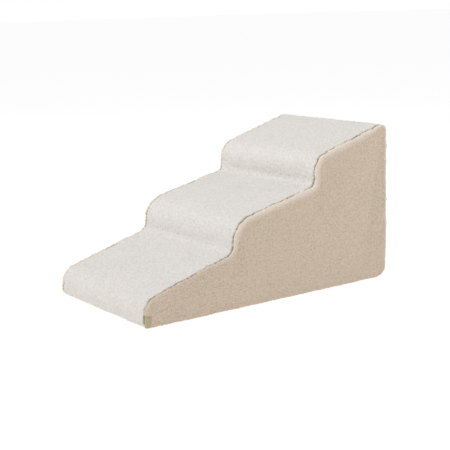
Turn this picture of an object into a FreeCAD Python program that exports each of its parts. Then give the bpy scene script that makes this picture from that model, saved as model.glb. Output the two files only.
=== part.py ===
"""Foam pet steps: three sloping treads in a removable fleece cover with a zip.

Frame: +X runs from the low front to the tall back, +Y is the climber's left, +Z is up. The origin is
the middle of the footprint, on the floor. Every length is in millimetres.
"""
import FreeCAD
import Part

import math
import os

V = FreeCAD.Vector

# ---- Driving dimensions -------------------------------------------------------------------------
LENGTH = 560.0          # front face to back face
WIDTH = 310.0           # outside of one side panel to outside of the other
HEIGHT = 304.0          # floor to the back edge of the top tread

DOT_HEIGHT = 1.0        # grip dots stand this far below the base cloth
BASE_CLOTH = 2.0        # thickness of the non-slip base cloth
WALL_FOOT = 0.5         # the fleece walls stop this far above the floor
FLEECE = 8.0            # fleece panel: knitted backing, its pile and a thin quilted wadding
CAVITY_FLOOR = 3.4      # level the liner bag stands on
LINER = 0.6             # thickness of the non-woven liner bag
LINER_GAP = 0.3         # slack between cover and liner, and again between liner and foam
CORE_INSET = FLEECE + LINER + 2 * LINER_GAP
CORE_FLOOR = CAVITY_FLOOR + LINER + 2 * LINER_GAP
TREAD_PAD = 22.0        # thickness of the soft foam on each tread
GLUE_GAP = 0.2          # glue line between foam blocks

# Outline of the steps in the XZ plane: where each corner is, and the radius that rounds it
FRONT, BACK = -LENGTH / 2, LENGTH / 2
NOSE_1, NOSE_1_RADIUS = (FRONT, 48.0), 40.0
CREASE_1, CREASE_1_RADIUS = (-93.0, 102.5), 18.0
NOSE_2, NOSE_2_RADIUS = (-82.0, 159.5), 50.0
CREASE_2, CREASE_2_RADIUS = (100.0, 202.0), 14.0
NOSE_3, NOSE_3_RADIUS = (102.0, 254.0), 38.0
TOP_BACK, TOP_RADIUS = (BACK, HEIGHT + 2.7), 8.0
HEEL_RADIUS = 22.0
FOOT_RADIUS = 8.0

HALF_SPAN = WIDTH / 2 - FLEECE      # middle plane to the inner face of a side panel
SEAM_ROUND = 4.0                    # a strip's edge turns in by this much at the seam
SIDE_ROUND = 6.5                    # rounding of a side panel's outer rim

STITCH_DIAMETER = 0.9
STITCH_LENGTH = 3.4
STITCH_PITCH = 6.0
STITCH_DEPTH = 0.8                  # from the fleece surface down to the thread's centre
STITCH_OFFSET = 0.5                 # from the side panel's inner face to the thread's centre
STITCH_FLOOR = 9.0                  # the lowest stitch is this far above the floor

DOT_RADIUS = 4.0
DOT_PITCH = 26.0
BASE_GAP = 0.4                      # base cloth to the walls round it

# Zip along the foot of the left side; it closes toward the front
ZIP_Z = 30.0                        # centre line above the floor
ZIP_FRONT, ZIP_BACK = -240.0, 228.0
ZIP_MARGIN = 14.0                   # the opening runs on past each end of the chain
MOUTH_HALF = 7.5                    # half the height of the opening between the fleece lips
MOUTH_RADIUS = 4.0
LIP = 5.7                           # thickness of the fleece lips that hide the tapes
POCKET_HALF = 16.5                  # half the height of the pocket behind the lips
POCKET_MARGIN = 6.0
TAPE_WIDTH = 14.0
TAPE_THICK = 0.6
TAPE_EDGE = 1.7                     # each tape stops this far from the centre line
CHAIN_HALF = 3.1                    # half the width of the closed chain
CHAIN_THICK = 2.3
TAPE_Y = WIDTH / 2 - LIP - 0.2 - TAPE_THICK
CHAIN_Y = TAPE_Y + TAPE_THICK
CHAIN_TOP = CHAIN_Y + CHAIN_THICK
COIL_ROUND = 0.7
STOP_LENGTH = 2.4
STOP_HALF = 1.4
STOP_ROUND = 0.4
STOP_GAP = 0.4                      # slider to the closed-end stops
END_STOP_LENGTH = 4.0

SLIDER_CLEAR = 0.25                 # running clearance round the chain and the tapes
SLIDER_LENGTH = 12.0
SLIDER_PLATE = 1.0
SLIDER_WALL = 0.9
PLATE_CORNER = 2.0
SLIDER_FRONT = ZIP_FRONT - 4.2
SLIDER_BACK = SLIDER_FRONT + SLIDER_LENGTH
SLIDER_HALF = CHAIN_HALF + SLIDER_CLEAR + SLIDER_WALL
TOP_PLATE_Y = CHAIN_TOP + SLIDER_CLEAR
UNDER_PLATE_Y = TAPE_Y - SLIDER_CLEAR - SLIDER_PLATE
POST_HALF = 1.2
POST_LENGTH = 3.0
LUG_RADIUS = 1.2
LUG_HALF = 1.1
LUG_X = SLIDER_FRONT + 5.0
LUG_Y = TOP_PLATE_Y + SLIDER_PLATE + 1.15

PULL_LENGTH = 26.0
PULL_HALF = 3.5
PULL_THICK = 1.2
PULL_CORNER = 2.6
FORK_HALF = 1.4                     # half the gap between the two arms beside the lug
PIN_RADIUS = 0.5
PIN_CLEAR = 0.06
FINGER_HOLE = 1.9

# Folded blank ribbon caught in the right front corner seam
LABEL_LENGTH = 9.0
LABEL_HEIGHT = 19.0
LABEL_THICK = 1.2
LABEL_FLOOR = 2.0
LABEL_START = FRONT + 1.0
LABEL_FACE = -WIDTH / 2 + 0.1       # the ribbon lies this deep in the side's pile


# ---- Outlines -----------------------------------------------------------------------------------
def crossing(first, second):
    """Point where two lines cross; a line is (point, direction)."""
    (px, pz), (dx, dz) = first
    (qx, qz), (ex, ez) = second
    along = ((qx - px) * ez - (qz - pz) * ex) / (dx * ez - dz * ex)
    return px + dx * along, pz + dz * along


def line_inside(start, end, inset):
    """The line from start to end, moved by inset toward its right-hand side."""
    length = math.hypot(end[0] - start[0], end[1] - start[1])
    dx, dz = (end[0] - start[0]) / length, (end[1] - start[1]) / length
    return (start[0] + dz * inset, start[1] - dx * inset), (dx, dz)


def outline(inset, floor, crease_radius=None):
    """Corners (x, z, radius) of the steps' outline, moved in by inset and standing on floor.

    Noses lose inset from their radius and creases gain it, unless crease_radius is given.
    """
    raw = [
        ((FRONT, floor), FOOT_RADIUS - inset),
        (NOSE_1, NOSE_1_RADIUS - inset),
        (CREASE_1, CREASE_1_RADIUS + inset if crease_radius is None else crease_radius),
        (NOSE_2, NOSE_2_RADIUS - inset),
        (CREASE_2, CREASE_2_RADIUS + inset if crease_radius is None else crease_radius),
        (NOSE_3, NOSE_3_RADIUS - inset),
        (TOP_BACK, TOP_RADIUS - inset),
        ((BACK, floor), HEEL_RADIUS - inset),
    ]
    lines = []
    for i, (start, _) in enumerate(raw):
        end = raw[(i + 1) % len(raw)][0]
        on_floor = start[1] == floor and end[1] == floor
        lines.append(line_inside(start, end, 0.0 if on_floor else inset))
    return [(*crossing(lines[i - 1], lines[i]), max(raw[i][1], 0.0)) for i in range(len(raw))]


def rounded_edges(corners, y):
    """Straight edges and arcs along the corners, each rounded by its own radius."""
    turns = []
    for i, (x, z, radius) in enumerate(corners):
        here = V(x, y, z)
        if radius < 0.05:
            turns.append((here, None, here))
            continue
        before = V(corners[i - 1][0], y, corners[i - 1][1]) - here
        after = V(corners[(i + 1) % len(corners)][0], y, corners[(i + 1) % len(corners)][1]) - here
        before.normalize()
        after.normalize()
        half = math.acos(before.dot(after)) / 2
        middle = here + (before + after).normalize() * (radius / math.sin(half) - radius)
        reach = radius / math.tan(half)
        turns.append((here + before * reach, middle, here + after * reach))
    edges = []
    for i, (start, middle, end) in enumerate(turns):
        if middle is not None:
            edges.append(Part.Arc(start, middle, end).toShape())
        edges.append(Part.LineSegment(end, turns[(i + 1) % len(turns)][0]).toShape())
    return edges


def prism(corners, y0, y1):
    """Solid of a rounded outline between two Y planes."""
    face = Part.Face(Part.Wire(rounded_edges(corners, y0)))
    return face.extrude(V(0, y1 - y0, 0))


def box(x0, x1, y0, y1, z0, z1):
    return Part.makeBox(x1 - x0, y1 - y0, z1 - z0, V(x0, y0, z0))


def edges_along(shape, axis):
    """Straight edges that run along one axis, given as 'X', 'Y' or 'Z'."""
    others = [a for a in "XYZ" if a != axis]
    return [e for e in shape.Edges if all(getattr(e.BoundBox, a + "Length") < 1e-6 for a in others)]


def rim(shape, y):
    """Edges that lie in the plane Y = y."""
    return [e for e in shape.Edges if abs(e.BoundBox.YMin - y) < 1e-4 and abs(e.BoundBox.YMax - y) < 1e-4]


# ---- Foam core ----------------------------------------------------------------------------------
def under_tread(nose, crease, depth, x0, x1):
    """Zone between two X planes, from depth below the foam's tread line up to clear air."""
    (px, pz), (dx, dz) = line_inside(nose, crease, CORE_INSET + depth)
    z0 = pz + (x0 - px) * dz / dx
    z1 = pz + (x1 - px) * dz / dx
    corners = [(x0, z0, 0), (x0, z0 + HEIGHT, 0), (x1, z1 + HEIGHT, 0), (x1, z1, 0)]
    return prism(corners, -WIDTH, WIDTH), z1


def foam_core():
    """Three stacked slabs of firm foam, each with a soft pad glued to its tread."""
    corners = outline(CORE_INSET, CORE_FLOOR, crease_radius=0.0)
    half = WIDTH / 2 - CORE_INSET
    whole = prism(corners, -half, half)
    treads = [(NOSE_1, CREASE_1), (NOSE_2, CREASE_2), (NOSE_3, TOP_BACK)]
    fronts = [FRONT, corners[2][0], corners[4][0]]
    backs = [corners[2][0] - GLUE_GAP, corners[4][0] - GLUE_GAP, BACK]
    floor = 0.0
    slabs, pads = [], []
    for (nose, crease), front, back in zip(treads, fronts, backs):
        pad_zone, seat = under_tread(nose, crease, TREAD_PAD, front, back)
        clear_zone, _ = under_tread(nose, crease, TREAD_PAD + GLUE_GAP, front - 1, back + GLUE_GAP)
        pads.append(whole.common(pad_zone))
        ceiling = HEIGHT if back == BACK else seat
        slab = whole.common(box(front, BACK, -half, half, floor, ceiling))
        slabs.append(slab.cut(clear_zone))
        floor = seat + GLUE_GAP
    return slabs, pads


# ---- Liner bag ----------------------------------------------------------------------------------
def liner_bag():
    """Non-woven bag: one strip wrapped round the foam and an end cloth on each side."""
    outside = outline(FLEECE + LINER_GAP, CAVITY_FLOOR + LINER_GAP)
    inside = outline(FLEECE + LINER_GAP + LINER, CAVITY_FLOOR + LINER_GAP + LINER)
    end = HALF_SPAN - LINER_GAP - LINER
    wrap = prism(outside, -end, end).cut(prism(inside, -WIDTH, WIDTH))
    return wrap, prism(outside, -end - LINER, -end), prism(outside, end, end + LINER)


# ---- Fleece cover -------------------------------------------------------------------------------
def cover_strips():
    """The step panel over the front and the treads, and the back panel with its curl at the heel."""
    block = prism(outline(0, WALL_FOOT), -HALF_SPAN, HALF_SPAN)
    block = block.makeFillet(SEAM_ROUND, rim(block, -HALF_SPAN) + rim(block, HALF_SPAN))
    wall = block.cut(prism(outline(FLEECE, CAVITY_FLOOR), -WIDTH, WIDTH))
    heel = BACK - HEEL_RADIUS
    wall = wall.cut(box(FRONT + FLEECE, heel, -WIDTH, WIDTH, -1, CAVITY_FLOOR + 0.1))
    back_zone = box(BACK - FLEECE, BACK + 1, -WIDTH, WIDTH, -1, HEIGHT + 1)
    back_zone = back_zone.fuse(box(heel, BACK, -WIDTH, WIDTH, -1, 2 * HEEL_RADIUS))
    return wall.cut(back_zone), wall.common(back_zone)


def side_panel(side):
    """A side panel with a rounded outer rim: side -1 is the right one, 1 the left one."""
    panel = prism(outline(0, WALL_FOOT), side * HALF_SPAN, side * WIDTH / 2)
    return panel.makeFillet(SIDE_ROUND, rim(panel, side * WIDTH / 2))


def zip_slot(half_height, margin, y1):
    """Long slot with rounded corners on the zip's centre line, from inside the cover out to y1."""
    z0, z1 = ZIP_Z - half_height, ZIP_Z + half_height
    slot = box(ZIP_FRONT - margin, ZIP_BACK + margin, HALF_SPAN - 1, y1, z0, z1)
    return slot.makeFillet(MOUTH_RADIUS, edges_along(slot, "Y"))


def left_side():
    """Left side panel with the zip's opening, and the strip of fleece between zip and base."""
    panel = side_panel(1)
    panel = panel.cut(zip_slot(MOUTH_HALF, ZIP_MARGIN, WIDTH / 2 + 1))
    panel = panel.cut(zip_slot(POCKET_HALF, ZIP_MARGIN + POCKET_MARGIN, WIDTH / 2 - LIP))
    below = box(ZIP_FRONT - ZIP_MARGIN, ZIP_BACK + ZIP_MARGIN, 0, WIDTH, -1, ZIP_Z)
    return panel.cut(below), panel.common(below)


def right_side():
    """Right side panel with a shallow seat for the label, and the label."""
    y0, y1 = LABEL_FACE, LABEL_FACE + LABEL_THICK
    end = LABEL_START + LABEL_LENGTH
    tag = box(LABEL_START, end, y0, y1, LABEL_FLOOR, LABEL_FLOOR + LABEL_HEIGHT)
    fold = [e for e in edges_along(tag, "Z") if e.BoundBox.XMax > end - LABEL_THICK]
    tag = tag.makeFillet(0.45 * LABEL_THICK, fold)
    return side_panel(-1).cut(tag), tag


def base_panel():
    """Base cloth between the walls, with printed grip dots bonded to its underside."""
    x0, x1 = FRONT + FLEECE + BASE_GAP, BACK - HEEL_RADIUS - BASE_GAP
    half = HALF_SPAN - BASE_GAP
    cloth = box(x0, x1, -half, half, DOT_HEIGHT, DOT_HEIGHT + BASE_CLOTH)
    rows = int(2 * (half - DOT_RADIUS) // DOT_PITCH)
    columns = int((x1 - x0 - 2 * DOT_RADIUS) // DOT_PITCH)
    dots = []
    for row in range(rows + 1):
        odd = row % 2
        for column in range(columns + 1 - odd):
            x = (x0 + x1) / 2 + (column - columns / 2 + odd / 2) * DOT_PITCH
            y = (row - rows / 2) * DOT_PITCH
            dots.append(Part.makeCylinder(DOT_RADIUS, DOT_HEIGHT + BASE_CLOTH / 2, V(x, y, 0)))
    return cloth.fuse(dots)


def seam_thread(side):
    """Short stitches in the groove between a side panel and the strips, all along the outline."""
    path = Part.Wire(rounded_edges(outline(STITCH_DEPTH, WALL_FOOT + STITCH_DEPTH), 0))
    points = path.discretize(Number=2 * int(path.Length // STITCH_PITCH) + 1)
    in_groove = V(0, side * (HALF_SPAN - STITCH_OFFSET), 0)
    stitches = []
    for before, middle, after in zip(points[::2], points[1::2], points[2::2]):
        if middle.z > STITCH_FLOOR:
            along = (after - before).normalize()
            start = middle - along * (STITCH_LENGTH / 2) + in_groove
            stitches.append(Part.makeCylinder(STITCH_DIAMETER / 2, STITCH_LENGTH, start, along))
    return Part.makeCompound(stitches)


# ---- Zip ----------------------------------------------------------------------------------------
def zip_tapes():
    """Upper and lower tape, flat strips sewn behind the fleece lips."""
    x0, x1 = ZIP_FRONT - ZIP_MARGIN + 1, ZIP_BACK + ZIP_MARGIN - 1
    inner, outer = TAPE_EDGE, TAPE_EDGE + TAPE_WIDTH
    upper = box(x0, x1, TAPE_Y, CHAIN_Y, ZIP_Z + inner, ZIP_Z + outer)
    lower = box(x0, x1, TAPE_Y, CHAIN_Y, ZIP_Z - outer, ZIP_Z - inner)
    return upper, lower


def zip_coils():
    """Upper and lower nylon coil, as bars that meet on the zip's centre line."""
    upper = box(ZIP_FRONT, ZIP_BACK, CHAIN_Y, CHAIN_TOP, ZIP_Z, ZIP_Z + CHAIN_HALF)
    lower = box(ZIP_FRONT, ZIP_BACK, CHAIN_Y, CHAIN_TOP, ZIP_Z - CHAIN_HALF, ZIP_Z)
    upper_rim = [e for e in edges_along(upper, "X") if e.BoundBox.ZMin > ZIP_Z + 1]
    lower_rim = [e for e in edges_along(lower, "X") if e.BoundBox.ZMax < ZIP_Z - 1]
    return upper.makeFillet(COIL_ROUND, upper_rim), lower.makeFillet(COIL_ROUND, lower_rim)


def zip_stops():
    """Two small clips at the closed end, and one box across both coils at the open end."""
    x1 = SLIDER_FRONT - STOP_GAP
    clips = []
    for side in (-1, 1):
        z = ZIP_Z + side * (TAPE_EDGE + STOP_HALF + 0.8)
        clip = box(x1 - STOP_LENGTH, x1, CHAIN_Y, CHAIN_TOP - 0.2, z - STOP_HALF, z + STOP_HALF)
        clips.append(clip.makeFillet(STOP_ROUND, clip.Edges))
    low, high = ZIP_Z - CHAIN_HALF, ZIP_Z + CHAIN_HALF
    end = box(ZIP_BACK, ZIP_BACK + END_STOP_LENGTH, CHAIN_Y, CHAIN_TOP, low, high)
    return Part.makeCompound(clips), end.makeFillet(STOP_ROUND, end.Edges)


def slider_plate(y):
    """One of the slider's two plates, its four corners rounded."""
    low, high = ZIP_Z - SLIDER_HALF, ZIP_Z + SLIDER_HALF
    plate = box(SLIDER_FRONT, SLIDER_BACK, y, y + SLIDER_PLATE, low, high)
    return plate.makeFillet(PLATE_CORNER, edges_along(plate, "Y"))


def zip_slider():
    """Slider: two plates joined by the dividing post, guide walls, and a lug for the pull."""
    inside_top = TOP_PLATE_Y + SLIDER_PLATE / 2
    inside_under = UNDER_PLATE_Y + SLIDER_PLATE / 2
    post_x = SLIDER_FRONT + 0.4
    post = box(post_x, post_x + POST_LENGTH, inside_under, inside_top, ZIP_Z - POST_HALF, ZIP_Z + POST_HALF)
    walls = [
        box(SLIDER_FRONT + 3, SLIDER_BACK - 1, CHAIN_Y + SLIDER_CLEAR, inside_top, z, z + SLIDER_WALL)
        for z in (ZIP_Z - SLIDER_HALF, ZIP_Z + SLIDER_HALF - SLIDER_WALL)
    ]
    x0, x1 = LUG_X - LUG_RADIUS, LUG_X + LUG_RADIUS
    web = box(x0, x1, inside_top, LUG_Y, ZIP_Z - LUG_HALF, ZIP_Z + LUG_HALF)
    lug = Part.makeCylinder(LUG_RADIUS, 2 * LUG_HALF, V(LUG_X, LUG_Y, ZIP_Z - LUG_HALF))
    hole = Part.makeCylinder(PIN_RADIUS + PIN_CLEAR, 4 * LUG_HALF, V(LUG_X, LUG_Y, ZIP_Z - 2 * LUG_HALF))
    body = slider_plate(TOP_PLATE_Y).fuse([slider_plate(UNDER_PLATE_Y), post, web, lug, *walls])
    return body.cut(hole)


def zip_pull():
    """Pull tab: a plate whose two arms hold a pin that runs through the slider's lug."""
    y0 = LUG_Y - PULL_THICK / 2
    tip = LUG_X + PULL_LENGTH
    plate = box(LUG_X - PIN_RADIUS, tip, y0, y0 + PULL_THICK, ZIP_Z - PULL_HALF, ZIP_Z + PULL_HALF)
    plate = plate.makeFillet(PULL_CORNER, [e for e in edges_along(plate, "Y") if e.BoundBox.XMin > LUG_X])
    fork = box(LUG_X - 4, LUG_X + LUG_RADIUS + 1.4, y0 - 1, y0 + 3, ZIP_Z - FORK_HALF, ZIP_Z + FORK_HALF)
    finger = Part.makeCylinder(FINGER_HOLE, PULL_THICK + 2, V(tip - 5, y0 - 1, ZIP_Z), V(0, 1, 0))
    pin = Part.makeCylinder(PIN_RADIUS, 2 * PULL_HALF - 0.6, V(LUG_X, LUG_Y, ZIP_Z - PULL_HALF + 0.3))
    return plate.cut(fork).cut(finger).fuse(pin)


# ---- Build --------------------------------------------------------------------------------------
def pieces():
    slabs, pads = foam_core()
    wrap, liner_right, liner_left = liner_bag()
    steps, back = cover_strips()
    left, facing = left_side()
    right, tag = right_side()
    tape_upper, tape_lower = zip_tapes()
    coil_upper, coil_lower = zip_coils()
    stops_closed, stop_open = zip_stops()
    return {
        "foam_slab_lower": slabs[0],
        "foam_slab_middle": slabs[1],
        "foam_slab_upper": slabs[2],
        "tread_pad_lower": pads[0],
        "tread_pad_middle": pads[1],
        "tread_pad_upper": pads[2],
        "liner_wrap": wrap,
        "liner_end_right": liner_right,
        "liner_end_left": liner_left,
        "step_panel": steps,
        "back_panel": back,
        "side_panel_right": right,
        "side_panel_left": left,
        "zip_facing_strip": facing,
        "base_panel": base_panel(),
        "side_label": tag,
        "seam_thread_right": seam_thread(-1),
        "seam_thread_left": seam_thread(1),
        "zip_tape_upper": tape_upper,
        "zip_tape_lower": tape_lower,
        "zip_coil_upper": coil_upper,
        "zip_coil_lower": coil_lower,
        "zip_stops_closed_end": stops_closed,
        "zip_stop_open_end": stop_open,
        "zip_slider": zip_slider(),
        "zip_pull": zip_pull(),
    }


def main():
    os.makedirs("parts", exist_ok=True)
    for name, shape in pieces().items():
        sound = shape.isValid() and len(shape.Solids) > 0
        volume = sum(solid.Volume for solid in shape.Solids)
        state = "ok" if sound else "BAD"
        print(f"{name:22s} {state:3s} solids {len(shape.Solids):4d}  {volume / 1000:10.2f} cm3")
        shape.exportStep(f"parts/{name}.step")


main()
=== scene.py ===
"""Looks of the foam pet steps: fleece cover, foam core, liner, zip, seams and label.

Every length is in metres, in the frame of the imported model: +X runs from the low front to the tall
back, +Y is the climber's left, +Z is up, and the floor is Z = 0.
"""
import math

import bpy
import numpy as np
from mathutils import Matrix, Vector, geometry


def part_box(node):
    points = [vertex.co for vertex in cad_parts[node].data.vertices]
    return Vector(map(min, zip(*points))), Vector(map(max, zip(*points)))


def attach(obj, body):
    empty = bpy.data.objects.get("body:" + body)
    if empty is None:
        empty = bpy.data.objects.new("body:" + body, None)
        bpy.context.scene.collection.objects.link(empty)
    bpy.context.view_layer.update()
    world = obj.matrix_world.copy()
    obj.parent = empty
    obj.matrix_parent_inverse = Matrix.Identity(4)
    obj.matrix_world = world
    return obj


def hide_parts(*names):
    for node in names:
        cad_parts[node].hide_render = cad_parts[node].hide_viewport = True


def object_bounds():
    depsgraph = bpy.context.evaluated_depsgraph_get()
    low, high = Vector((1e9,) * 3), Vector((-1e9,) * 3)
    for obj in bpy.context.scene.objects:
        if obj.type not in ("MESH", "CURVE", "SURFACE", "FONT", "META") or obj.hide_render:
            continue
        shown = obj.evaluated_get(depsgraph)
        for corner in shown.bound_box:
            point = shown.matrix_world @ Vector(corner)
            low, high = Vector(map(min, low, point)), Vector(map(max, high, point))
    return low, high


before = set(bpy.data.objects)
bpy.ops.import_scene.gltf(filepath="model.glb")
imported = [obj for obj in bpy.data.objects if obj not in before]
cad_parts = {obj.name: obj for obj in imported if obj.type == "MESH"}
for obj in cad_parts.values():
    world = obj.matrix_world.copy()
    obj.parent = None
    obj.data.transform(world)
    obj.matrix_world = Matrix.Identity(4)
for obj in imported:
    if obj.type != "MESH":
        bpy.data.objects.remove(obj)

CAD_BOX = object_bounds()
MM = 0.001

# ---- Driving sizes ------------------------------------------------------------------------------
FRONT, BACK = CAD_BOX[0].x, CAD_BOX[1].x
SIDE = CAD_BOX[1].y                     # middle plane to the outer face of a side panel
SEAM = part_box("step_panel")[1].y        # middle plane to a side seam
WALL_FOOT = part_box("step_panel")[0].z   # lowest edge of the fleece

# The steps' outline in the XZ plane: corner, and the radius that rounds it; creases are negative
NOSE_1 = (FRONT, 48 * MM)
CREASE_1 = (-93 * MM, 102.5 * MM)
NOSE_2 = (-82 * MM, 159.5 * MM)
CREASE_2 = (100 * MM, 202 * MM)
NOSE_3 = (102 * MM, 254 * MM)
TOP_BACK = (BACK, 306.7 * MM)
RADII = [8 * MM, 40 * MM, -18 * MM, 50 * MM, -14 * MM, 38 * MM, 13 * MM, 22 * MM]


# ---- Outline ------------------------------------------------------------------------------------
def outline(inset=0.0, floor=WALL_FOOT):
    """Corners of the steps' outline with every side but the floor moved in by inset."""
    raw = [(FRONT, floor), NOSE_1, CREASE_1, NOSE_2, CREASE_2, NOSE_3, TOP_BACK, (BACK, floor)]
    start = np.array(raw)
    along = np.roll(start, -1, axis=0) - start
    along /= np.linalg.norm(along, axis=1)[:, None]
    moved = start + np.stack([along[:, 1], -along[:, 0]], axis=1) * inset
    moved[-1] = start[-1]
    corners = []
    for i in range(len(raw)):
        sides = np.stack([along[i - 1], -along[i]], axis=1)
        reach = np.linalg.solve(sides, moved[i] - moved[i - 1])[0]
        corners.append(moved[i - 1] + along[i - 1] * reach)
    radii = [math.copysign(max(abs(r) - math.copysign(inset, r), 0.4 * MM), r) for r in RADII]
    return np.array(corners), radii


class Track:
    """A run of straight lines joined by arcs, sampled by the length walked along it.

    A corner turns through an arc of its radius. A point on an arc is centre + radius * normal, where
    the normal points to the left of the walk, and a left-hand turn has a negative radius.
    """

    def __init__(self, corners, radii, closed):
        corners = np.asarray(corners, float)
        count = len(corners)
        self.parts = []
        walked = 0.0
        ends = []
        for i in range(count):
            if not closed and i in (0, count - 1):
                ends.append((corners[i], corners[i]))
                continue
            before = corners[i] - corners[i - 1]
            after = corners[(i + 1) % count] - corners[i]
            before, after = before / np.linalg.norm(before), after / np.linalg.norm(after)
            turn = math.atan2(before[0] * after[1] - before[1] * after[0], before @ after)
            reach = abs(radii[i]) * math.tan(abs(turn) / 2)
            ends.append((corners[i] - before * reach, corners[i] + after * reach))
        for i in range(count):
            if closed or 0 < i < count - 1:
                before = corners[i] - corners[i - 1]
                angle = math.atan2(before[0], -before[1])
                after = corners[(i + 1) % count] - corners[i]
                turn = (math.atan2(after[0], -after[1]) - angle + math.pi) % (2 * math.pi) - math.pi
                radius = -math.copysign(abs(radii[i]), turn)
                centre = ends[i][0] - radius * np.array([math.cos(angle), math.sin(angle)])
                length = abs(radius * turn)
                self.parts.append((walked, length, "arc", (centre, radius, angle, turn)))
                walked += length
            if closed or i < count - 1:
                begin, finish = ends[i][1], ends[(i + 1) % count][0]
                length = float(np.linalg.norm(finish - begin))
                direction = (finish - begin) / max(length, 1e-12)
                self.parts.append((walked, length, "line", (begin, direction)))
                walked += length
        self.length = walked

    def at(self, s):
        """Points and outward normals, as arrays of (x, z), at the walked lengths s."""
        s = np.clip(np.asarray(s, float), 0, self.length)
        points, normals = np.zeros(s.shape + (2,)), np.zeros(s.shape + (2,))
        for start, length, kind, facts in self.parts:
            here = (s >= start - 1e-12) & (s <= start + length + 1e-12)
            step = s[here] - start
            if kind == "arc":
                centre, radius, angle, turn = facts
                a = angle + turn * step / max(length, 1e-12)
                normal = np.stack([np.cos(a), np.sin(a)], axis=-1)
                points[here] = centre + radius * normal
                normals[here] = normal
            else:
                begin, direction = facts
                points[here] = begin + step[:, None] * direction
                normals[here] = (-direction[1], direction[0])
        return points, normals


# ---- Uneven cloth: fields and waves -------------------------------------------------------------
def pile_tile(seed, bands, size=512):
    """Repeating height field, one value per millimetre.

    White noise is kept near each band's wavelength, as a ring in the frequency plane, and the bands
    are added by weight. The result has a spread of one.
    """
    rng = np.random.default_rng(seed)
    spectrum = np.fft.rfft2(rng.standard_normal((size, size)))
    frequency = np.hypot(np.fft.fftfreq(size)[:, None], np.fft.rfftfreq(size)[None])
    field = np.zeros((size, size))
    for wavelength, weight in bands:
        ring = np.exp(-(((frequency * wavelength - 1) / 0.45) ** 2))
        band = np.fft.irfft2(spectrum * ring, s=(size, size))
        field += weight * band / band.std()
    return field / field.std()


def lookup(tile, u, v):
    """Value of a tile at surface places u, v, blended between its four nearest cells."""
    size = tile.shape[0]
    a, b = (u / MM) % size, (v / MM) % size
    i, j = np.floor(a).astype(int), np.floor(b).astype(int)
    fa, fb = a - i, b - j
    i, j = i % size, j % size
    k, m = (i + 1) % size, (j + 1) % size
    low = tile[i, j] * (1 - fb) + tile[i, m] * fb
    high = tile[k, j] * (1 - fb) + tile[k, m] * fb
    return low * (1 - fa) + high * fa


def between(grid, a, b):
    """Value of a grid at row a and column b, which may fall between whole numbers."""
    i = np.clip(np.floor(a).astype(int), 0, grid.shape[0] - 2)
    j = np.clip(np.floor(b).astype(int), 0, grid.shape[1] - 2)
    fa, fb = np.clip(a - i, 0, 1), np.clip(b - j, 0, 1)
    low = grid[i, j] * (1 - fb) + grid[i, j + 1] * fb
    high = grid[i + 1, j] * (1 - fb) + grid[i + 1, j + 1] * fb
    return low * (1 - fa) + high * fa


def wave(s, wavelength, seed):
    """Uneven wave along a line: eight sines whose lengths lie round the wavelength, of spread one."""
    rng = np.random.default_rng(seed)
    lengths = wavelength * rng.uniform(0.65, 1.6, 8)
    phases = rng.uniform(0, 2 * math.pi, 8)
    s = np.asarray(s, float)
    return np.sin(2 * math.pi * s[..., None] / lengths + phases).sum(axis=-1) / 2.0


def ease(x):
    """Smooth step from 0 to 1."""
    x = np.clip(x, 0, 1)
    return x * x * (3 - 2 * x)


CURLS = np.abs(pile_tile(11, [(8.0, 1.0), (4.6, 0.8)]))     # short curled pile: round tops, sharp valleys
DRAPE = pile_tile(12, [(90.0, 1.0), (45.0, 0.5)])           # slow unevenness of cloth over foam
CELLS = pile_tile(13, [(3.0, 1.0), (6.0, 0.5)])             # open cells on a cut foam face
CREASED = pile_tile(14, [(30.0, 1.0), (14.0, 0.6)])         # limp thin cloth


# ---- Meshes from rings --------------------------------------------------------------------------
def ring_triangles(count, size):
    """Quads of a tube made of count closed rings of size points, as an array of corner numbers."""
    ring, spot = np.meshgrid(np.arange(count - 1), np.arange(size), indexing="ij")
    after = (spot + 1) % size
    quads = np.stack([ring * size + spot, ring * size + after, (ring + 1) * size + after,
                      (ring + 1) * size + spot], axis=-1)
    return quads.reshape(-1, 4)


def signed_volume(rings):
    """Volume inside a tube of rings, negative if its faces point inwards."""
    points = rings.reshape(-1, 3) - rings.reshape(-1, 3).mean(axis=0)
    quads = ring_triangles(*rings.shape[:2])
    total = 0.0
    for a, b, c in ((0, 1, 2), (0, 2, 3)):
        cross = np.cross(points[quads[:, b]], points[quads[:, c]])
        total += (points[quads[:, a]] * cross).sum() / 6
    for ring, sense in ((rings[0], -1), (rings[-1], 1)):
        ring = ring - rings.reshape(-1, 3).mean(axis=0)
        middle = ring.mean(axis=0)
        cross = np.cross(ring, np.roll(ring, -1, axis=0))
        total += sense * (cross @ middle).sum() / 6
    return total


def ring_normals(rings):
    """Outward direction at each point of a tube: across the step round the ring and the step along."""
    around = np.roll(rings, -1, axis=1) - np.roll(rings, 1, axis=1)
    along = np.gradient(rings, axis=0)
    normal = np.cross(around, along)
    normal /= np.maximum(np.linalg.norm(normal, axis=-1, keepdims=True), 1e-12)
    return normal if signed_volume(rings) > 0 else -normal


def add_mesh(name, points, faces, uv=None, smooth=True):
    """New object at the origin from points, faces and, where given, one UV pair per point."""
    mesh = bpy.data.meshes.new(name)
    mesh.from_pydata(points.tolist(), [], faces)
    if uv is not None:
        corner_points = np.zeros(len(mesh.loops), np.int32)
        mesh.loops.foreach_get("vertex_index", corner_points)
        layer = mesh.uv_layers.new(name="cloth")
        layer.data.foreach_set("uv", uv.reshape(-1, 2)[corner_points].astype(np.float32).ravel())
    mesh.polygons.foreach_set("use_smooth", np.full(len(mesh.polygons), smooth))
    mesh.validate()
    mesh.update()
    made = bpy.data.objects.new(name, mesh)
    bpy.context.scene.collection.objects.link(made)
    return made


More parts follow.
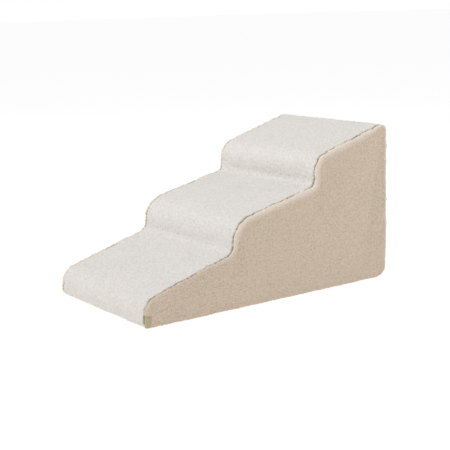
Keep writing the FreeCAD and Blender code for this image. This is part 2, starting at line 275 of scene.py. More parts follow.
def mark(piece, name, values):
    """Stores one number per point, for the piece's material to read."""
    layer = piece.data.attributes.new(name, "FLOAT", "POINT")
    layer.data.foreach_set("value", np.asarray(values, np.float32).ravel())


def below(points, normals, y, depth):
    """Places at y and at a depth under an outline's (x, z) points, measured along its normals."""
    flat = points - normals * np.asarray(depth)[..., None]
    return np.stack([flat[..., 0], y + 0 * flat[..., 0], flat[..., 1]], axis=-1)


def two_faced(face, places):
    """Rings round a thin cloth: face(place) for its first face, then for its second walked back."""
    first, second = (face(place) for place in places)
    return np.concatenate([first, second[:, ::-1]], axis=1)


def tube(name, rings, uv=None):
    """Closed mesh over rings of points, its two ends filled, with its faces pointing outwards."""
    count, size = rings.shape[:2]
    quads = ring_triangles(count, size)
    first, last = np.arange(size)[::-1], np.arange(size) + (count - 1) * size
    if signed_volume(rings) < 0:
        quads, first, last = quads[:, ::-1], first[::-1], last[::-1]
    faces = quads.tolist() + [first.tolist(), last.tolist()]
    return add_mesh(name, rings.reshape(-1, 3), faces, uv)


CLOTH_FRAMES = 16


def settled(grid, held):
    """Places of a grid after it has been run as cloth, as an array shaped like the grid.

    The held places are sewn fast. The foam inside presses the rest outwards while the cloth pulls
    back, so it crowns between its seams and ripples where they pull it in.
    """
    rows, columns = grid.shape[:2]
    number = np.arange(rows * columns).reshape(rows, columns)
    corners = (number[:-1, :-1], number[1:, :-1], number[1:, 1:], number[:-1, 1:])
    faces = np.stack(corners, axis=-1).reshape(-1, 4).tolist()
    sheet = add_mesh("panel_under_test", grid.reshape(-1, 3), faces)
    sheet.vertex_groups.new(name="seams").add(number[held].tolist(), 1.0, "REPLACE")
    cloth = sheet.modifiers.new("cloth", "CLOTH")
    cloth.settings.vertex_group_mass = "seams"
    cloth.settings.quality = 6
    cloth.settings.mass = 0.3
    cloth.settings.air_damping = 4
    cloth.settings.tension_stiffness = 60
    cloth.settings.compression_stiffness = 40
    cloth.settings.shear_stiffness = 15
    cloth.settings.bending_stiffness = 0.5
    cloth.settings.use_pressure = True
    cloth.settings.uniform_pressure_force = 0.25
    cloth.settings.effector_weights.gravity = 0
    cloth.collision_settings.use_collision = False
    cloth.collision_settings.use_self_collision = False
    for frame_number in range(1, CLOTH_FRAMES + 1):
        bpy.context.scene.frame_set(frame_number)
    rested = sheet.evaluated_get(bpy.context.evaluated_depsgraph_get()).data
    places = np.zeros(rows * columns * 3, np.float32)
    rested.vertices.foreach_get("co", places)
    bpy.context.scene.frame_set(1)
    bpy.data.objects.remove(sheet)
    return places.reshape(rows, columns, 3).astype(float)


def copies(name, shape, faces, places, turns):
    """One mesh holding the same small shape at many places, each turned by its own 3x3 matrix."""
    points = np.einsum("nij,pj->npi", turns, shape) + places[:, None, :]
    step = (np.arange(len(places)) * len(shape))[:, None]
    every = []
    for face in faces:
        every += (np.asarray(face)[None] + step).tolist()
    return add_mesh(name, points.reshape(-1, 3), every)


# ---- Materials ----------------------------------------------------------------------------------
class Finish:
    """A material under construction: its shader, and short ways to add pattern nodes."""

    def __init__(self, name, colour, roughness, **settings):
        self.material = bpy.data.materials.new(name)
        self.material.use_nodes = True
        self.nodes = self.material.node_tree.nodes
        self.links = self.material.node_tree.links
        self.shader = self.nodes["Principled BSDF"]
        self.shader.inputs["Base Color"].default_value = (*colour, 1)
        self.shader.inputs["Roughness"].default_value = roughness
        for socket, value in settings.items():
            self.shader.inputs[socket.replace("_", " ")].default_value = value
        self.place = self.nodes.new("ShaderNodeTexCoord")

    def spot(self, source="Object", scale=(1, 1, 1), turn=(0, 0, 0)):
        """Pattern coordinates, stretched by scale and turned."""
        mapping = self.nodes.new("ShaderNodeMapping")
        mapping.inputs["Scale"].default_value = scale
        mapping.inputs["Rotation"].default_value = turn
        self.links.new(self.place.outputs[source], mapping.inputs["Vector"])
        return mapping.outputs["Vector"]

    def marked(self, name):
        """Number stored at the piece's points; nought where a piece has none."""
        node = self.nodes.new("ShaderNodeAttribute")
        node.attribute_name = name
        return node.outputs["Fac"]

    def noise(self, where, scale, detail=2.0, roughness=0.5, distortion=0.0):
        node = self.nodes.new("ShaderNodeTexNoise")
        node.inputs["Scale"].default_value = scale
        node.inputs["Detail"].default_value = detail
        node.inputs["Roughness"].default_value = roughness
        node.inputs["Distortion"].default_value = distortion
        self.links.new(where, node.inputs["Vector"])
        return node.outputs["Fac"]

    def cells(self, where, scale):
        node = self.nodes.new("ShaderNodeTexVoronoi")
        node.inputs["Scale"].default_value = scale
        self.links.new(where, node.inputs["Vector"])
        return node.outputs["Distance"]

    def bands(self, where, scale, direction="X", distortion=0.0):
        node = self.nodes.new("ShaderNodeTexWave")
        node.bands_direction = direction
        node.inputs["Scale"].default_value = scale
        node.inputs["Distortion"].default_value = distortion
        self.links.new(where, node.inputs["Vector"])
        return node.outputs["Fac"]

    def ramp(self, value, stops):
        """Colour ramp from (position, colour) stops."""
        node = self.nodes.new("ShaderNodeValToRGB")
        ends = node.color_ramp.elements
        while len(ends) < len(stops):
            ends.new(0.5)
        for end, (position, colour) in zip(ends, stops):
            end.position = position
            end.color = (*colour, 1)
        self.links.new(value, node.inputs["Fac"])
        return node.outputs["Color"]

    def tones(self, value, colour, low, high):
        """Ramp between two shades of a colour, each given as (position, factor)."""
        return self.ramp(value, [(position, tint(colour, factor)) for position, factor in (low, high)])

    def maths(self, operation, first, second):
        node = self.nodes.new("ShaderNodeMath")
        node.operation = operation
        for socket, value in zip(node.inputs, (first, second)):
            if isinstance(value, (int, float)):
                socket.default_value = value
            else:
                self.links.new(value, socket)
        return node.outputs["Value"]

    def blend(self, share, first, second, mode="MIX"):
        node = self.nodes.new("ShaderNodeMix")
        node.data_type = "RGBA"
        node.blend_type = mode
        for name, value in (("Factor", share), ("A", first), ("B", second)):
            socket = next(i for i in node.inputs if i.name == name and i.enabled)
            if isinstance(value, bpy.types.NodeSocket):
                self.links.new(value, socket)
            else:
                socket.default_value = value
        return next(o for o in node.outputs if o.enabled)

    def colour(self, value):
        self.links.new(value, self.shader.inputs["Base Color"])

    def rough(self, value, low, high):
        node = self.nodes.new("ShaderNodeMapRange")
        node.inputs["To Min"].default_value = low
        node.inputs["To Max"].default_value = high
        self.links.new(value, node.inputs["Value"])
        self.links.new(node.outputs["Result"], self.shader.inputs["Roughness"])

    def bump(self, *layers):
        """Bump from (height, strength, distance) layers, each on top of the one before."""
        below = None
        for height, strength, distance in layers:
            node = self.nodes.new("ShaderNodeBump")
            node.inputs["Strength"].default_value = strength
            node.inputs["Distance"].default_value = distance
            self.links.new(height, node.inputs["Height"])
            if below is not None:
                self.links.new(below, node.inputs["Normal"])
            below = node.outputs["Normal"]
        self.links.new(below, self.shader.inputs["Normal"])


def tint(colour, factor):
    return tuple(c * factor for c in colour)


def fleece(name, colour, hollow_shade, rim, seam, curls_per_m):
    """Short fleece pile: curled fibre tips, a brushed lie, slow patches, and painted shade in the pile's
    hollows.

    On a rolled edge the pile takes the rim colour, a painted highlight where the roll faces the light
    above; down in a seam it takes the seam colour, painted shade in the groove over darker backing
    and thread, broken up by the tufts that cross it.
    """
    made = Finish(name, colour, 0.95, Sheen_Weight=0.2, Sheen_Roughness=0.6, Specular_IOR_Level=0.1)
    flat = made.spot("UV")
    curls = made.noise(flat, curls_per_m, detail=3.5, roughness=0.68, distortion=0.6)
    fibres = made.noise(made.spot("UV", (1, 2.4, 1), (0, 0, 0.55)), 430, detail=2.0, roughness=0.6)
    patches = made.noise(flat, 16, detail=3.0, roughness=0.5)
    # Painted shade in the pile's hollows, where the curls are low; the curl tops are lighter.
    tips = made.ramp(curls, [(0.34, hollow_shade), (0.50, colour), (0.64, tint(colour, 1.14))])
    lie = made.tones(fibres, colour, (0.28, 0.76), (0.68, 1.10))
    cool = tuple(c * f for c, f in zip(colour, (0.94, 0.95, 0.91)))
    warm = tuple(c * f for c, f in zip(colour, (1.07, 1.03, 1.05)))
    brushed = made.ramp(patches, [(0.3, cool), (0.7, warm)])
    pile = made.blend(0.25, made.blend(0.42, tips, lie), brushed)
    # Painted highlight: where a rolled edge faces the light, the pile is lightened towards the rim
    # colour.
    lit = made.blend(1.0, pile, (*tint(rim, 1 / max(colour)), 1), "MULTIPLY")
    bright = made.blend(0.4, (*rim, 1), lit)
    pile = made.blend(made.marked("rim"), pile, bright)
    # Painted shade in a seam's groove, over darker backing and thread, broken up by the tufts.
    clumps = made.noise(flat, 170, detail=3.0, roughness=0.7)
    tufts = made.ramp(clumps, [(0.40, (0, 0, 0)), (0.54, (1, 1, 1))])
    deep = made.maths("MULTIPLY", made.marked("seam"), tufts)
    made.colour(made.blend(deep, pile, (*seam, 1)))
    made.bump((curls, 0.8, 1.3 * MM), (fibres, 0.5, 0.7 * MM))
    return made.material


def foam(name, colour):
    """Cut polyurethane foam: open cells and a faint wave from the hot wire."""
    made = Finish(name, colour, 0.9, Specular_IOR_Level=0.2)
    flat = made.spot("Object")
    pits = made.cells(flat, 620)
    large = made.cells(flat, 210)
    wire = made.bands(made.spot("Object", (1, 0.2, 1), (0, 0.3, 0)), 26, "Z", 2.0)
    tone = made.ramp(pits, [(0.0, tint(colour, 0.80)), (0.45, colour), (1.0, tint(colour, 1.03))])
    made.colour(made.blend(0.15, tone, made.tones(wire, colour, (0, 0.94), (1, 1))))
    made.bump((wire, 0.15, 0.4 * MM), (large, 0.3, 0.4 * MM), (pits, 0.6, 0.5 * MM))
    return made.material


def non_woven():
    """Thin white non-woven cloth with an embossed diamond of dots and loose fibres."""
    white = (0.86, 0.86, 0.84)
    made = Finish("non_woven", white, 0.8, Specular_IOR_Level=0.3)
    flat = made.spot("UV", (1, 1, 1), (0, 0, math.pi / 4))
    fibres = made.noise(flat, 900, detail=4.0, roughness=0.7, distortion=1.2)
    across, along = made.bands(flat, 170, "X"), made.bands(flat, 170, "Y")
    emboss = made.maths("MULTIPLY", across, along)
    made.colour(made.tones(fibres, white, (0.3, 0.88), (0.6, 1)))
    made.bump((fibres, 0.3, 0.2 * MM), (emboss, 0.5, 0.3 * MM))
    return made.material


def woven(name, colour, threads, roughness=0.8, depth=0.3):
    """Plain weave: warp and weft ribs of slightly different tones, with slubs."""
    made = Finish(name, colour, roughness, Sheen_Weight=0.15, Specular_IOR_Level=0.25)
    flat = made.spot("UV")
    warp, weft = made.bands(flat, threads, "X", 0.3), made.bands(flat, threads, "Y", 0.3)
    slubs = made.noise(made.spot("UV", (0.15, 1, 1)), threads * 1.4, detail=2.0)
    tone = made.blend(0.5, made.tones(warp, colour, (0, 0.72), (1, 1.05)),
                      made.tones(weft, colour, (0, 0.78), (1, 1.02)))
    made.colour(made.blend(0.25, tone, made.tones(slubs, colour, (0.3, 0.8), (0.7, 1.1))))
    made.bump((made.maths("ADD", warp, weft), 0.6, depth * MM))
    return made.material


def rubber_dots():
    """Cast clear-grey rubber with a dusty skin."""
    grey = (0.45, 0.43, 0.40)
    made = Finish("grip_rubber", grey, 0.5, Specular_IOR_Level=0.45)
    dust = made.noise(made.spot("Object"), 180, detail=4.0)
    made.colour(made.tones(dust, grey, (0.35, 0.85), (0.65, 1.15)))
    made.rough(dust, 0.35, 0.65)
    made.bump((made.noise(made.spot("Object"), 900), 0.2, 0.2 * MM))
    return made.material


def spun_thread(name, colour):
    """Spun sewing thread: a fine twist with fibre shine."""
    made = Finish(name, colour, 0.6, Sheen_Weight=0.3, Specular_IOR_Level=0.35)
    twist = made.bands(made.spot("Object", (1, 0.4, 1), (0.4, 0.7, 0.6)), 900, "X", 0.6)
    made.colour(made.tones(twist, colour, (0, 0.6), (1, 1.1)))
    made.bump((twist, 0.6, 0.15 * MM))
    return made.material


def nylon():
    """Drawn nylon monofilament, satin, each turn slightly different in tone."""
    beige = (0.47, 0.38, 0.28)
    made = Finish("coil_nylon", beige, 0.38, Specular_IOR_Level=0.5)
    tone = made.noise(made.spot("Object"), 260, detail=2.0)
    made.colour(made.tones(tone, beige, (0.35, 0.85), (0.65, 1.12)))
    made.rough(tone, 0.28, 0.45)
    made.bump((made.noise(made.spot("Object", (1, 0.2, 0.2)), 2400), 0.15, 0.05 * MM))
    return made.material


def enamel():
    """Die-cast metal under beige enamel: orange peel, and worn spots where the metal shines through."""
    beige = (0.42, 0.34, 0.25)
    made = Finish("zip_enamel", beige, 0.35, Specular_IOR_Level=0.5, Coat_Weight=0.3, Coat_Roughness=0.2)
    wear = made.noise(made.spot("Object"), 700, detail=6.0, roughness=0.7)
    peel = made.noise(made.spot("Object"), 1900, detail=1.0)
    spots = made.ramp(wear, [(0.72, (0, 0, 0)), (0.78, (1, 1, 1))])
    made.colour(made.blend(spots, (*beige, 1), (0.62, 0.60, 0.57, 1)))
    made.links.new(spots, made.shader.inputs["Metallic"])
    made.rough(peel, 0.28, 0.42)
    made.bump((peel, 0.15, 0.05 * MM), (wear, 0.1, 0.05 * MM))
    return made.material


CREAM = (0.71, 0.685, 0.655)
# The hollow colours are painted shade for the hollows of each fleece's pile.
CREAM_HOLLOW_SHADE = (0.53, 0.49, 0.44)
BEIGE = (0.575, 0.475, 0.374)
BEIGE_HOLLOW_SHADE = (0.33, 0.255, 0.18)
# Painted highlight for the side panels' rolled edges, where the roll faces the light from above.
RIM_HIGHLIGHT = (0.75, 0.715, 0.665)
# Painted shade in a seam's groove, together with the dark of its backing and thread.
SEAM_SHADE_AND_THREAD = (0.50, 0.45, 0.35)
FLEECE_CREAM = fleece("fleece_cream", CREAM, CREAM_HOLLOW_SHADE, CREAM, SEAM_SHADE_AND_THREAD, 205)
FLEECE_BEIGE = fleece("fleece_beige", BEIGE, BEIGE_HOLLOW_SHADE, RIM_HIGHLIGHT, SEAM_SHADE_AND_THREAD, 270)
FOAM_FIRM = foam("foam_firm", (0.80, 0.77, 0.66))
FOAM_SOFT = foam("foam_soft", (0.85, 0.85, 0.80))
NON_WOVEN = non_woven()
BASE_WEAVE = woven("base_weave", (0.40, 0.34, 0.27), 420, depth=0.4)
TAPE_WEAVE = woven("tape_weave", (0.50, 0.42, 0.32), 620, depth=0.2)
RIBBON_WEAVE = woven("ribbon_weave", (0.52, 0.46, 0.27), 700, roughness=0.6, depth=0.2)
GRIP_RUBBER = rubber_dots()
SEAM_THREAD = spun_thread("seam_thread", (0.30, 0.25, 0.18))
COIL_NYLON = nylon()
ZIP_ENAMEL = enamel()


def finish_piece(piece, material, slot, *nodes, body="steps"):
    """Gives a new piece its material and body, and hides the CAD nodes that it stands for; its slot is
    not used.
    """
    piece.data.materials.append(material)
    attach(piece, body)
    if nodes:
        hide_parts(*nodes)
    return piece


# ---- Fleece strips: step panel and back panel ---------------------------------------------------
SKIN = Track(*outline(), closed=True)
HEEL_END = SKIN.length - SKIN.parts[-1][1]      # walked length from the front foot to the heel's end
SEAM_TURN = 4 * MM                              # a panel's edge turns in over this width at a seam
SEAM_DEPTH = 2.8 * MM                           # and goes down this far
CLOTH = 3.2 * MM                                # backing and pile of the fleece
GRAIN = 1.75 * MM                               # spacing of the fleece's mesh
SEAM_GAP = 0.15 * MM
HEM_CLEAR = 0.2 * MM                            # no pile reaches below this
TOP_SEAM_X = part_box("step_panel")[1].x - 0.5 * MM


def length_at(track, x):
    """Walked length at which a track first reaches a given x."""
    s = np.linspace(0.0, track.length, 20001)
    return float(s[np.argmax(track.at(s)[0][:, 0] >= x)])


TOP_SEAM = length_at(SKIN, TOP_SEAM_X)


def seam_wander(s, side):
    """How far the side seam strays outward from its line, from the hand-fed sewing."""
    return (0.60 * wave(s, 34 * MM, 20 + side) + 0.40 * wave(s, 11 * MM, 30 + side)) * MM


def seam_pucker(s, side):
    """Depth that the stitches pull the cloth down beside the seam."""
    return (0.6 + 0.30 * wave(s, 14 * MM, 40 + side) + 0.25 * wave(s, 55 * MM, 50 + side)) * MM


def turned_in(distance):
    """Depth of a quarter-round edge at a distance from the seam."""
    inside = np.clip(1 - distance / SEAM_TURN, 0, 1)
    return SEAM_DEPTH * (1 - np.sqrt(np.clip(1 - inside ** 2, 0, 1)))


def curl_height(u, v):
    """Height of the pile over the cloth, with slow unevenness under it."""
    return 0.60 * MM * (lookup(CURLS, u, v) - 0.8) + 0.35 * MM * lookup(DRAPE, u + 0.13, v)


def strip_relief(start, end):
    """How far a strip's cloth lies above the outline, as a function of walked length and y."""
    half = SEAM - SEAM_TURN

    def plain(s, y):
        pucker = np.where(y < 0, seam_pucker(s, 0), seam_pucker(s, 1))
        return 0.9 * MM * (1 - (y / SEAM) ** 4) - pucker * ease(1.3 - (SEAM - np.abs(y)) / (7 * MM))

    low, high = start + SEAM_TURN, end - SEAM_TURN
    s = np.linspace(low, high, int((high - low) / (3.6 * MM)))[:, None]
    y = np.linspace(-half, half, 49)[None]
    points, normals = SKIN.at(s[:, 0])
    points, normals = (np.insert(a, 1, 0, axis=1)[:, None] for a in (points, normals))
    held = np.ones((s.size, y.size), bool)
    held[1:-1, 1:-1] = False
    pulled = np.where(y < 0, -seam_pucker(s, 0), -seam_pucker(s, 1)) * ease(np.abs(y) / half * 12 - 11)
    flat = points + normals * pulled[..., None] + np.array([0, 1, 0]) * y[..., None]
    rested = settled(flat, held)
    lift = ((rested - flat) * normals).sum(axis=-1) + pulled
    lift = np.clip(lift, -1.6 * MM, 3 * MM)

    def relief(s, y):
        row = (s - low) / (high - low) * (lift.shape[0] - 1)
        return between(lift, row, (y / half + 1) / 2 * (lift.shape[1] - 1))

    return relief


def fleece_strip(name, start, end):
    """Strip of fleece wrapped along the steps' outline from one walked length to another.

    Each ring runs across the strip and back underneath. A point is the outline's point less its
    depth along the outline's normal: nought over the strip, a quarter round down at the seams and at
    the two ends, and the cloth's thickness on the way back. Pile then lifts it along its own normal.
    """
    edge = np.linspace(0, 1, 5)[1:-1] * SEAM_TURN
    s = np.concatenate([[start], start + edge, np.arange(start + SEAM_TURN, end - SEAM_TURN, GRAIN),
                        end - edge[::-1], [end]])
    points, normals = SKIN.at(s)
    roll = np.linspace(0, math.pi / 2, 6)[:-1]
    across = int(2 * (SEAM - SEAM_TURN) / GRAIN)
    left = np.concatenate([-SEAM + SEAM_TURN * (1 - np.cos(roll)),
                           np.linspace(-SEAM + SEAM_TURN, SEAM - SEAM_TURN, across),
                           SEAM - SEAM_TURN * (1 - np.cos(roll[::-1]))])
    under = np.linspace(SEAM - SEAM_TURN / 2, -SEAM + SEAM_TURN / 2, 7)
    y = np.concatenate([left, under])[None, :] + np.zeros((len(s), 1))
    outer = np.arange(y.shape[1]) < len(left)
    off_seam = SEAM - np.abs(y)
    side = ease(1 - off_seam / (26 * MM))
    wander = np.where(y < 0, -seam_wander(s, 0)[:, None], seam_wander(s, 1)[:, None])
    depth_across = turned_in(off_seam)
    depth_along = turned_in(np.minimum(s - start, end - s))[:, None]
    depth = np.hypot(depth_across, depth_along) - strip_relief(start, end)(s[:, None], y)
    depth = np.where(outer[None, :], depth, SEAM_TURN + CLOTH)
    y = y + (wander - np.sign(y) * SEAM_GAP) * side
    rings = below(points[:, None], normals[:, None], y, depth)
    u = s[:, None] + np.zeros_like(y)
    tuft = 1 + 0.9 * ease(1 - off_seam / (7 * MM))
    height = np.where(outer[None, :], curl_height(u, y) * tuft, 0)
    rings += ring_normals(rings) * height[..., None]
    rings[..., 2] = np.maximum(rings[..., 2], HEM_CLEAR)
    piece = tube(name, rings, np.stack([u, y], axis=-1))
    # The front's cloth is darker towards its foot, in the seam colour broken up by tufts.
    darker_at_foot = 0.3 * ease(1 - s / (70 * MM))[:, None]
    # Painted shade in the seam's groove: full on the right side, a tenth of it on the left.
    in_seam = np.where(y > 0, 0.1, 1.0) * ease(1.3 - off_seam / (2.8 * MM))
    mark(piece, "seam", np.maximum(in_seam, darker_at_foot))
    # Painted highlight along the rolled seam edges.
    mark(piece, "rim", ease(1 - off_seam / (9 * MM)))
    return piece


def make_step_panel():
    piece = fleece_strip("step_panel_fleece", 0.0, TOP_SEAM)
    finish_piece(piece, FLEECE_CREAM, "fleece_cream", "step_panel")


def make_back_panel():
    piece = fleece_strip("back_panel_fleece", TOP_SEAM, HEEL_END)
    finish_piece(piece, FLEECE_BEIGE, "fleece_beige", "back_panel")


# ---- Fleece sides -------------------------------------------------------------------------------
ROLL_CREST = 4 * MM         # seam to the crest of a side panel's rolled edge
ROLL_DROP = 13 * MM         # crest down to where the side lies flat
TIGHT_DROP = 5.5 * MM       # the same drop along the first tread and down the back
HEM_DROP = 3.5 * MM         # the same drop at the hem
BACK_PROUD = 3.2 * MM       # down the back the crest stands this far out past the back panel
SIDE_BACK = SIDE - 5.4 * MM     # inner face of a side's cloth
SIDE_GRAIN = 2.2 * MM       # spacing of a side's rings along its upper edge
FACE_ROWS = 140             # rows of a side's flat face, from its upper edge to its lower
# How far ahead of straight down a side's ring lands on the hem, at each corner from foot to heel
RING_LEADS = np.array([0, 8, 2, 12, 14, 26, -75, -16]) * MM
TOP_CORNER = length_at(SKIN, BACK - 3 * MM)
FIRST_CREASE = length_at(SKIN, CREASE_1[0])
SKYLINE = tuple(SKIN.at(np.linspace(12 * MM, TOP_CORNER, 2000))[0].T)
MOUTH_FRONT, MOUTH_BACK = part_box("zip_facing_strip")[0].x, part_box("zip_facing_strip")[1].x
MOUTH_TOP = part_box("zip_coil_upper")[0].z + 7.5 * MM
LIP_HALF = 1.5 * MM         # the mouth's lip rolls in this tightly, clear of the tapes


def looseness(s):
    """Nought along the first tread, where the side is pulled tight, and one from the second on."""
    return ease((s - FIRST_CREASE + 70 * MM) / (120 * MM))


def roll_drop(s):
    """Drop of a side's rolled edge at walked length s: less up to the first crease and down the back."""
    free = looseness(s) * ease((TOP_CORNER - s) / (45 * MM) - 0.2)
    return TIGHT_DROP + (ROLL_DROP - TIGHT_DROP) * free


def side_relief(side):
    """How far a side's cloth stands out past its rim, as a function of x and z."""

    def plain(x, z):
        top = np.interp(x, *SKYLINE)
        margin = np.minimum(BACK - x, x - FRONT) - TIGHT_DROP
        return 0.8 * MM * np.clip(4 * z * (top - z) / top ** 2, 0, 1) ** 0.5 * ease(margin / (60 * MM))

    columns, rows = 100, 55
    x = np.linspace(FRONT, BACK, columns)[:, None]
    z = np.linspace(0, CAD_BOX[1].z, rows)[None]
    floor = MOUTH_TOP if side > 0 else WALL_FOOT
    skyline = np.interp(x, *SKYLINE)
    held = (z > skyline - ROLL_DROP) | (z < floor + TIGHT_DROP)
    held |= (x > BACK - TIGHT_DROP) | (x < FRONT + TIGHT_DROP)
    held |= np.interp(x + ROLL_DROP, *SKYLINE) < z
    held |= np.interp(x - ROLL_DROP, *SKYLINE) < z
    flat = np.stack([x + 0 * z, np.zeros(held.shape), z + 0 * x], axis=-1)[:, ::-1]
    lift = settled(flat, held[:, ::-1])[:, ::-1, 1]
    lift = np.clip(np.abs(lift), 0, 3 * MM)

    def relief(x, z):
        return between(lift, (x - FRONT) / (BACK - FRONT) * (columns - 1), z / CAD_BOX[1].z * (rows - 1))

    return relief


def side_rings(top, under, side, lip):
    """Rings of a side panel between its upper edge and its lower edge.

    top and under are (points, normals) of matching edge places. Ring j climbs the rolled edge at
    top j, crosses the face in a straight line to under j, rolls in there, and returns inside. On a
    rolled edge the angle a goes from half a turn to nought: y = crest + width * cos a, and depth
    below the outline = drop * (1 - sin a), with the inner quarter narrower than the outer one. Down the
    back the crest stands proud of the outline, and the stitches' pucker dips it.
    """
    count = len(top[0])
    s_top = top[2]
    inner = np.linspace(math.pi, math.pi / 2, 6)[:-1]
    outer = np.linspace(math.pi / 2, 0.12, 8)
    lip = np.broadcast_to(lip, (count,))
    wander = seam_wander(s_top, 1 if side > 0 else 0)
    pucker = seam_pucker(s_top, 1 if side > 0 else 0) + 0.7 * MM
    drops = roll_drop(s_top)
    proud = BACK_PROUD * ease((s_top - TOP_CORNER + 20 * MM) / (40 * MM))
    proud *= ease((HEEL_END - s_top) / (60 * MM) - 0.3)

    def rolled(points, normals, seam_y, width, dip, drop, proud=0.0):
        crest = seam_y + width
        rows = []
        for a in inner:
            depth = (np.minimum(width, SEAM_DEPTH) + proud) * (1 - math.sin(a))
            rows.append((crest + width * math.cos(a), depth + dip - proud))
        for a in outer:
            depth = drop * (1 - math.sin(a))
            rows.append((crest + (SIDE - crest) * math.cos(a), depth + (dip - proud) * math.sin(a) ** 2))
        return np.stack([below(points, normals, y, depth) for y, depth in rows], axis=1)

    upper = rolled(top[0], top[1], SEAM + SEAM_GAP + wander, np.full(count, ROLL_CREST), pucker, drops,
                   proud)
    lower = rolled(under[0], under[1], SEAM + SEAM_GAP + 2 * (ROLL_CREST - lip), lip, 0.0, HEM_DROP)
    lower = lower[:, ::-1]
    share = (np.arange(1, FACE_ROWS) / FACE_ROWS)[None, :, None]
    face = upper[:, -1:] * (1 - share) + lower[:, :1] * share
    face[..., 1] = SIDE - (SIDE - upper[:, -1:, 1]) * (1 - ease(share[..., 0] * 20)) \
        - (SIDE - lower[:, :1, 1]) * ease(1 - (1 - share[..., 0]) * 20)
    face[..., 1] += side_relief(side)(face[..., 0], face[..., 2])
    share = (np.arange(0, 7) / 6)[None, :, None]
    hem = np.stack([lower[:, -3], upper[:, 2]], axis=1)
    inside = hem[:, :1] * (1 - share) + hem[:, 1:] * share
    inside[..., 1] = SIDE_BACK
    rings = np.concatenate([upper, face, lower, inside], axis=1)
    outside = np.arange(rings.shape[1]) < rings.shape[1] - inside.shape[1]
    return rings, outside, len(inner) + len(outer)


def pressed(x, z):
    """One under the label, which holds the pile down, falling to nought 3 mm outside it."""
    low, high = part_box("side_label")
    past = np.maximum(np.maximum(x - high.x, z - high.z), low.z - z)
    return ease(1 - past / (3 * MM))


def fleece_side(name, top, under, side, lip=ROLL_CREST):
    """Side panel of fleece: its rings, lifted by the pile, and turned to its own side."""
    rings, outside, rim = side_rings(top, under, side, lip)
    height = curl_height(rings[..., 0] + 0.3 * side, rings[..., 2])
    row = np.arange(rings.shape[1])
    tuft = 0.8 + 0.5 * ease(1 - row / rim)
    tuft = tuft + 0.35 * ease((rings[..., 0] - 0.1 * BACK) / (0.9 * FRONT))
    height = np.where(outside, height * tuft, 0)
    if side < 0:
        height -= pressed(rings[..., 0], rings[..., 2]) * (height + 1.1 * MM) * outside
    lift = ring_normals(rings)
    lift[:, rim - 1:outside.sum() - rim + 1] = (0, 1, 0)
    rings = rings + lift * height[..., None]
    rings[..., 1] *= side
    rings[..., 2] = np.maximum(rings[..., 2], HEM_CLEAR)
    piece = tube(name, rings, rings[..., [0, 2]])
    # Painted highlight on the rolled upper edge: full on the left side, weaker along the right side's
    # first tread.
    pale = np.ones((len(rings), 1)) if side > 0 else 0.2 + 0.8 * looseness(top[2])[:, None]
    # Painted shade in the seam's groove: full on the right side, a tenth of it on the left.
    in_seam = (0.1 if side > 0 else 1.0) * ease(1.6 - row / 2.2)
    mark(piece, "seam", np.broadcast_to(in_seam, rings.shape[:2]))
    mark(piece, "rim", ease((rim + 1 - row) / 7) * pale)
    return piece


def spread_along(points, normals, s):
    """Share of the way along the lower edge that matches each place on the upper one.

    A row leaves the foot of the rolled edge and reaches the hem a little to one side of straight
    down: ahead under the risers, behind under the top, and catching up down the back. So the rows fan
    out and none cross.
    """
    foot = np.maximum.accumulate(points[:, 0] - normals[:, 0] * roll_drop(s))
    at = [0] + [SKIN.parts[2 * i][0] + SKIN.parts[2 * i][1] / 2 for i in range(1, 7)] + [HEEL_END]
    lead = np.interp(s, at, RING_LEADS)
    share = (foot + lead - points[0, 0]) / (points[-1, 0] - points[0, 0])
    return np.clip(np.maximum.accumulate(share), 0, 1) * 0.99 + 0.01 * s / HEEL_END


def upper_edge():
    """Points, normals and walked lengths along a side panel's upper edge."""
    s = np.linspace(0, HEEL_END, int(HEEL_END / SIDE_GRAIN))
    return *SKIN.at(s), s


def make_right_side():
    """Right side panel: its lower edge is the straight hem at the floor."""
    top = upper_edge()
    x = top[0][:, 0]
    along = x[0] + (x[-1] - x[0]) * spread_along(*top)
    under = np.stack([along, np.full_like(along, WALL_FOOT)], axis=1)
    down = np.broadcast_to(np.array([0.0, -1.0]), under.shape)
    piece = fleece_side("side_panel_right_fleece", top, (under, down), -1)
    finish_piece(piece, FLEECE_BEIGE, "fleece_beige", "side_panel_right")


def make_left_side():
    """Left side panel: its lower edge runs round the zip's opening."""
    top = upper_edge()
    x, s = top[0][:, 0], top[2]
    low, high = WALL_FOOT, MOUTH_TOP
    corners = [(x[0], low), (MOUTH_FRONT, low), (MOUTH_FRONT, high), (MOUTH_BACK, high),
               (MOUTH_BACK, low), (x[-1], low)]
    path = Track(corners, [0, 3 * MM, 4 * MM, 4 * MM, 3 * MM, 0], closed=False)
    spread = spread_along(*top)
    back_foot = length_at(SKIN, BACK - 0.1 * MM) + (TOP_BACK[1] - 12 * MM)
    pins = [(0.0, 0.0), (18 * MM, MOUTH_FRONT - x[0]), (52 * MM, MOUTH_FRONT - x[0] + high - low),
            (back_foot - 60 * MM, path.length - (x[-1] - MOUTH_BACK) - (high - low)),
            (back_foot - 16 * MM, path.length - (x[-1] - MOUTH_BACK)), (HEEL_END, path.length)]
    pins = np.array(pins)
    walked = np.interp(s, pins[:, 0], pins[:, 1])
    middle = (s > pins[2, 0]) & (s < pins[3, 0])
    share = (spread[middle] - spread[middle][0]) / (spread[middle][-1] - spread[middle][0])
    walked[middle] = pins[2, 1] + (pins[3, 1] - pins[2, 1]) * share
    points, normals = path.at(walked)
    at_mouth = ease((points[:, 1] - low) / (6 * MM))
    lip = ROLL_CREST + (LIP_HALF - ROLL_CREST) * at_mouth
    piece = fleece_side("side_panel_left_fleece", top, (points, -normals), 1, lip)
    finish_piece(piece, FLEECE_BEIGE, "fleece_beige", "side_panel_left")


